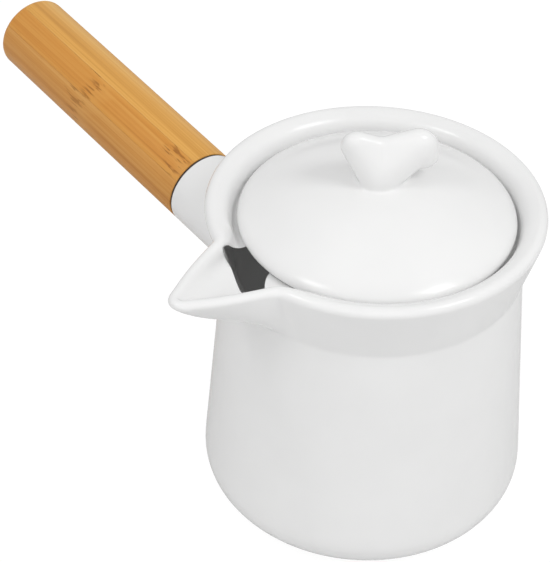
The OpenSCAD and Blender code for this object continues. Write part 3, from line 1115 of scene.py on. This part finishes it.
@dataclass
class DomedLid:
    """Loose lid: low dome with a round edge, a locating ring and a two-lobed knob."""

    seat: float = 98.4
    edge_centre: Point = (38.6, 100.7)
    edge_radius: float = 2.3
    edge_roll: float = 3.2  # how far inside the edge's centre the dome rolls over
    edge_pull: tuple[float, float] = (0.75, 0.8)
    edge_steps: int = 10
    dome_height: float = 16.7
    dome_thickness: float = 5.0
    ring_radius: float = 37.1
    ring_height: float = 2.5
    ring_width: float = 3.0
    ring_rounds: tuple[tuple[float, int], ...] = ((0.5, 2), (0.8, 4), (0.8, 4), (0.7, 3))
    columns: int = 240
    rest_shift: Point = (-0.28, -0.35)  # the loose lid lies a little off the middle
    sharp_angle: float = 60.0

    # Knob: its lobes, each a pair of flattened balls, and the cap of the dome it melts into
    small_lobe: Lobe = Lobe((-10.6, -2.4, 7.7), 4.6)
    large_lobe: Lobe = Lobe((7.2, -1.8, 8.9), 5.9)
    cheek: Lobe = Lobe((9.4, -1.8, 6.2), 4.6)
    web: Lobe = Lobe((-3.2, -2.0, 6.5), 4.1)
    foot: Lobe = Lobe((-2.2, -3.7, -1.2), 6.2)
    lobe_flat: float = 0.7
    lobe_tilt: float = -6.0
    lobe_back: Place = (0.8, 3.0, -2.1)
    foot_rise: float = 4.3
    foot_reach: float = 9.0  # radius at which the knob meets the dome
    knob_lean: float = 8.0
    knob_turn: float = 236.0
    knob_offset: float = 2.3
    cap_radius: float = 60.0
    cap_drop: float = 59.8  # depth of the cap's centre under the peak
    cap_height: float = 3.4
    voxel: float = 0.42
    melt_passes: int = 34  # smoothing that melts the lobes together

    def __post_init__(self) -> None:
        """Finds the dome's arc, which runs smoothly into the round edge."""
        rise = self.dome_height - self.edge_radius
        out = self.edge_centre[0]
        self.dome_radius = ((out**2 + rise**2 - self.edge_radius**2)
                            / (2 * (rise - self.edge_radius)))
        self.dome_middle = self.seat + self.dome_height - self.dome_radius

    def profile(self) -> list[Point]:
        """Profile of the lid.

        Returns:
            Its points from the peak, over the edge and the ring, to the middle underneath.
        """
        under = self.dome_radius - self.dome_thickness
        inner = self.ring_radius - self.ring_width
        low = self.seat - self.ring_height
        start = self.edge_centre[0] - self.edge_roll
        roll = math.degrees(math.acos(start / self.dome_radius))
        dome = arc((0, self.dome_middle), self.dome_radius, 90, roll, steps=40)
        wide = math.degrees(math.acos(inner / under))
        below = arc((0, self.dome_middle), under, wide, 90, steps=16)

        slope = math.radians(roll)
        ahead = Vector((math.sin(slope), -math.cos(slope))) * self.edge_roll * self.edge_pull[0]
        first = Vector(dome[-1])
        last = Vector((self.edge_centre[0] + self.edge_radius, self.edge_centre[1]))
        above = last + Vector((0, self.edge_radius * self.edge_pull[1]))
        edge = [tuple(pulled([first, first + ahead, above, last], k / self.edge_steps))
                for k in range(self.edge_steps + 1)]
        edge += arc(self.edge_centre, self.edge_radius, 0, -90, steps=8)[1:]

        corners = [edge[-1], (self.ring_radius, self.seat), (self.ring_radius, low), (inner, low),
                   below[0], below[1]]
        ring = []
        for before, corner, after, rounding in zip(corners, corners[1:], corners[2:],
                                                   self.ring_rounds):
            ring += rounded(before, corner, after, *rounding)
        below[0] = ((below[0][0] + below[1][0]) / 2, (below[0][1] + below[1][1]) / 2)
        return [(0.0, dome[0][1]), *dome[1:], *edge[1:], *ring, *below[:-1], (0.0, below[-1][1])]

    def knob(self) -> Piece:
        """Two puffy lobes that draw together into a foot and melt into the dome.

        Returns:
            The knob, on a cap of the dome.
        """
        peak = self.seat + self.dome_height
        flat = self.dome_middle + math.sqrt(self.dome_radius**2 - self.foot_reach**2)
        lean = Matrix.Rotation(math.radians(self.knob_lean), 3, "Y")
        turn = Matrix.Rotation(math.radians(self.knob_turn), 3, "Z")
        turned = turn @ lean @ Matrix.Rotation(math.radians(-self.lobe_tilt), 3, "X")
        rise = Vector((self.knob_offset, 0, self.foot_rise))

        def ball(lobe: Lobe, back: int) -> Piece:
            """Front or back ball of a lobe."""
            local = lean @ (Vector(lobe.place) + Vector(self.lobe_back) * back)
            return Bench.add("ball", bpy.ops.mesh.primitive_ico_sphere_add, subdivisions=4,
                             radius=lobe.radius * MM,
                             location=(turn @ (local + rise) + Vector((0, 0, flat))) * MM,
                             rotation=turned.to_euler(), scale=(1, self.lobe_flat, 1))

        lumps = []
        for lobes in ((self.small_lobe, self.web, self.foot),
                      (self.large_lobe, self.web, self.foot), (self.large_lobe, self.cheek)):
            lump = Bench.join([ball(lobe, back) for lobe in lobes for back in (0, 1)], "lump")
            with Bench.editing(lump, Selection.ALL):
                bpy.ops.mesh.convex_hull()
            lumps.append(lump)
        cap = Bench.add("cap", bpy.ops.mesh.primitive_uv_sphere_add, segments=96, ring_count=48,
                        radius=self.cap_radius * MM, location=(0, 0, (peak - self.cap_drop) * MM))
        with Bench.editing(cap, Selection.ALL):
            bpy.ops.mesh.bisect(plane_co=(0, 0, (peak - self.cap_height) * MM), plane_no=(0, 0, 1),
                                clear_inner=True, use_fill=True)
        knob = Bench.join([*lumps, cap], "knob")
        Bench.apply(knob, "REMESH", mode="VOXEL", voxel_size=self.voxel * MM)
        Bench.apply(knob, "SMOOTH", factor=0.5, iterations=self.melt_passes)
        return knob

    def build(self) -> Piece:
        """Models the lid.

        Returns:
            The piece.
        """
        piece = Bench.chain("lid_shell", self.profile())
        Bench.spin(piece, self.columns)
        aside, ahead = self.rest_shift
        with Bench.editing(piece, Selection.ALL):
            bpy.ops.transform.translate(value=(aside * MM, ahead * MM, 0))
        Bench.combine(piece, self.knob(), Combination.ADD)
        Bench.smooth(piece, self.sharp_angle)
        return piece

    def dress(self, piece: Piece) -> None:
        """Glazes the lid and puts it in the frame.

        Args:
            piece: The lid.
        """
        Bench.coat(piece, GlazeFinish("white_glaze_lid").material())
        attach(piece, Body.LID.value)
        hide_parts("lid", "lid_knob")


@dataclass(frozen=True)
class Strip:
    """One bamboo strip: its name, node, slot, finish and the planes that bound it."""

    name: str
    node: str
    slot: Slot
    finish: BambooFinish
    low: float | None
    high: float | None
    bored: bool = False


@dataclass
class BambooGrip:
    """Round grip of three glued bamboo strips, rounded at its free end."""

    axis: HandleAxis
    radius: float = 12.8
    start: float = 84.8
    length: float = 98.6
    sides: int = 128
    end_round: float = 2.0
    core: float = 8.5  # thickness of the middle strip
    strip_turn: float = 54.0  # turn of the stack of strips about the handle
    seam: float = 0.14
    seam_angle: float = 38.0
    hole_radius: float = 3.85
    hole_depth: float = 18.0
    hole_sides: int = 48
    sharp_angle: float = 32.0

    def strips(self) -> list[Strip]:
        """The strips of the grip.

        Returns:
            The upper, the middle and the lower strip.
        """
        half = self.core / 2
        light = BambooFinish("bamboo_light", (0.80, 0.48, 0.15), (0.72, 0.37, 0.085),
                             (0.55, 0.25, 0.045), 3.1)
        mid = BambooFinish("bamboo_mid", (0.68, 0.34, 0.08), (0.615, 0.264, 0.047),
                           (0.46, 0.17, 0.026), 11.7, ((91.0, 0.85), (136.5, 0.75)))
        warm = BambooFinish("bamboo_warm", (0.66, 0.35, 0.103), (0.6, 0.275, 0.064),
                            (0.475, 0.186, 0.035), 23.9, ((140.0, 0.6),))
        return [
            Strip("grip_upper", "grip_strip_upper", Slot.BAMBOO_LIGHT, light, None, -half),
            Strip("grip_core", "grip_strip_core", Slot.BAMBOO_MID, mid, -half, half, bored=True),
            Strip("grip_lower", "grip_strip_lower", Slot.BAMBOO_WARM, warm, half, None),
        ]

    def build(self, strip: Strip) -> Piece:
        """Models one strip.

        Args:
            strip: Which strip.

        Returns:
            The piece.
        """
        end = self.start + self.length
        piece = self.axis.cylinder(strip.name, self.radius, self.start, end, self.sides)
        along, across = self.axis.along, self.axis.across(math.radians(self.strip_turn))
        far = self.axis.point(end) * MM
        with Bench.editing(piece, Selection.NONE) as mesh:
            for edge in mesh.edges:
                edge.select_set(all(abs((v.co - far).dot(along)) < Bench.MERGE
                                    for v in edge.verts))
            bmesh.update_edit_mesh(piece.data)
            bpy.ops.mesh.bevel(offset=self.end_round * MM, segments=6, affect="EDGES")
            for limit, keep_low in ((strip.low, False), (strip.high, True)):
                if limit is None:
                    continue
                plane = (self.axis.point(self.start) + across * limit) * MM
                bpy.ops.mesh.select_all(action="SELECT")
                bpy.ops.mesh.bisect(plane_co=plane, plane_no=across, use_fill=True,
                                    clear_outer=keep_low, clear_inner=not keep_low)
        Bench.apply(piece, "BEVEL", width=self.seam * MM, segments=2, limit_method="ANGLE",
                    angle_limit=math.radians(self.seam_angle))
        if strip.bored:
            hole = self.axis.cylinder("hole", self.hole_radius, self.start - OVERCUT,
                                      self.start + self.hole_depth, self.hole_sides)
            Bench.combine(piece, hole, Combination.CUT)
        Bench.smooth(piece, self.sharp_angle)
        return piece

    def dress(self, strip: Strip, piece: Piece) -> None:
        """Gives a strip its grain and puts it in the frame.

        Args:
            strip: Which strip.
            piece: Its piece.
        """
        Bench.coat(piece, strip.finish.material(self.axis))
        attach(piece, Body.POT.value)
        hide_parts(strip.node)


@dataclass
class HandleJoint:
    """Washer, bolt, insert and cement between socket and grip, which keep their CAD shapes."""

    washer: GrainyFinish = GrainyFinish(
        "dark_rubber", (0.035, 0.028, 0.024), 0.0, (0.6, 0.8), (2500, 2500, 2500))
    bolt: GrainyFinish = GrainyFinish(
        "bright_steel", (0.62, 0.63, 0.65), 1.0, (0.22, 0.38), (60, 1800, 1800))
    insert: GrainyFinish = GrainyFinish(
        "turned_brass", (0.66, 0.45, 0.16), 1.0, (0.25, 0.4), (1800, 300, 300))
    cement: GrainyFinish = GrainyFinish(
        "grey_cement", (0.52, 0.51, 0.49), 0.0, (0.8, 0.95), (900, 900, 900))

    def dress(self) -> None:
        """Gives each node its finish."""
        for name, finish in (("joint_washer", self.washer), ("handle_bolt", self.bolt),
                             ("grip_insert", self.insert), ("socket_cement", self.cement)):
            Bench.coat(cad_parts[name], finish.material())
            LOG.info("dressed %s", name)


@dataclass(frozen=True)
class Lamp:
    """Soft lamp: its name, its place and size in metres, and its power in watts."""

    name: str
    place: Place
    size: float
    power: float


@dataclass
class Studio:
    """Camera at the photograph's place, pale floor, soft light and white surroundings."""

    eye: Place = (-392.8, 360.0, 510.1)
    right: Place = (-0.6201, -0.7842, 0.0229)
    up: Place = (0.5077, -0.3789, 0.7737)
    lens: float = 147.33
    sensor: float = 36.0
    nearest: float = 10.0
    ambient: float = 0.62
    floor_size: float = 6000.0
    floor_drop: float = 0.2
    floor_grey: float = 0.75
    floor_rough: float = 0.9
    floor_glow: float = 1.09
    floor_glow_share: float = 0.86
    lamps: tuple[Lamp, ...] = (
        Lamp("key", (-0.81, -0.3, 1.1), 0.45, 4.75),
        Lamp("top", (0.14, 0.79, 1.03), 0.33, 2.1),
        Lamp("front", (-0.85, 0.85, 0.8), 1.4, 3.5))
    lamp_aim: Place = (0.02, 0.01, 0.06)
    fill: Lamp = Lamp("inside_fill", (0, 0, 0.05), 0.02, 0.0023)

    def camera(self) -> None:
        """Sets the camera."""
        data = bpy.data.cameras.new("camera")
        data.lens, data.sensor_width, data.clip_start = self.lens, self.sensor, self.nearest * MM
        camera = bpy.data.objects.new("camera", data)
        right, up = Vector(self.right), Vector(self.up)
        turn = Matrix((right, up, right.cross(up))).transposed().to_4x4()
        camera.matrix_world = Matrix.Translation(Vector(self.eye) * MM) @ turn
        bpy.context.scene.collection.objects.link(camera)
        bpy.context.scene.camera = camera

    def floor(self) -> None:
        """Lays a pale floor that shows white and keeps a soft shadow."""
        floor = Bench.add("floor", bpy.ops.mesh.primitive_plane_add, size=self.floor_size * MM,
                          location=(0, 0, -self.floor_drop * MM))
        graph = Graph(bpy.data.materials.new("pale_floor"))
        grey = (self.floor_grey,) * 3
        paint = graph.shade(Base_Color=grey, Roughness=self.floor_rough, Specular_IOR_Level=0.0)
        glow = graph.add("Emission", {"Strength": self.floor_glow})
        eye = graph.add("LightPath").outputs["Is Camera Ray"]
        seen = graph.math("MULTIPLY", eye, self.floor_glow_share)
        mix = graph.add("MixShader", {0: seen, 1: graph.shader.outputs[0], 2: glow.outputs[0]})
        graph.feed(graph.tree.nodes["Material Output"].inputs[0], mix.outputs[0])
        Bench.coat(floor, paint)

    def surroundings(self) -> None:
        """White world for the eye and for reflections, dimmer as a light."""
        world = bpy.data.worlds.new("white_room")
        bpy.context.scene.world = world
        graph = Graph(world, "Background")
        path = graph.add("LightPath").outputs
        seen = path["Is Camera Ray"]
        for name in ("Is Glossy Ray", "Is Transmission Ray"):
            seen = graph.math("MAXIMUM", seen, path[name])
        level = graph.add("MapRange", {"Value": seen, "To Min": self.ambient, "To Max": 1.0})
        graph.shade(Color=(1, 1, 1), Strength=level.outputs[0])

    def hang(self, lamp: Lamp, data: bpy.types.Light) -> Piece:
        """Puts a lamp in its place.

        Args:
            lamp: Which lamp.
            data: Its light.

        Returns:
            The lamp's object.
        """
        data.energy = lamp.power
        hung = bpy.data.objects.new(lamp.name, data)
        hung.location = lamp.place
        bpy.context.scene.collection.objects.link(hung)
        return hung

    def soft_light(self) -> None:
        """Hangs the square lamps, which all look at the pot."""
        for lamp in self.lamps:
            data = bpy.data.lights.new(lamp.name, "AREA")
            data.size = lamp.size
            aim = Vector(self.lamp_aim) - Vector(lamp.place)
            self.hang(lamp, data).rotation_euler = aim.to_track_quat("-Z", "Y").to_euler()

    def inside_light(self) -> None:
        """Hangs a faint round lamp in the pot, for light that white walls reflect into it."""
        data = bpy.data.lights.new(self.fill.name, "POINT")
        data.shadow_soft_size = self.fill.size
        self.hang(self.fill, data)

    def build(self) -> None:
        """Builds the whole studio."""
        self.camera()
        self.floor()
        self.surroundings()
        self.soft_light()
        self.inside_light()
        bpy.context.scene.view_settings.view_transform = "Standard"


def main() -> None:
    """Builds and dresses every piece and reports it."""
    logging.basicConfig(level=logging.INFO, format="%(message)s")
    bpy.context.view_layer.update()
    Studio().build()
    axis = HandleAxis()
    for part in (PotShell(axis), DomedLid()):
        piece = part.build()
        part.dress(piece)
        LOG.info("built %s with %d faces", piece.name, len(piece.data.polygons))
    grip = BambooGrip(axis)
    for strip in grip.strips():
        piece = grip.build(strip)
        grip.dress(strip, piece)
        LOG.info("built %s with %d faces", piece.name, len(piece.data.polygons))
    HandleJoint().dress()


if __name__ == "__main__":
    main()
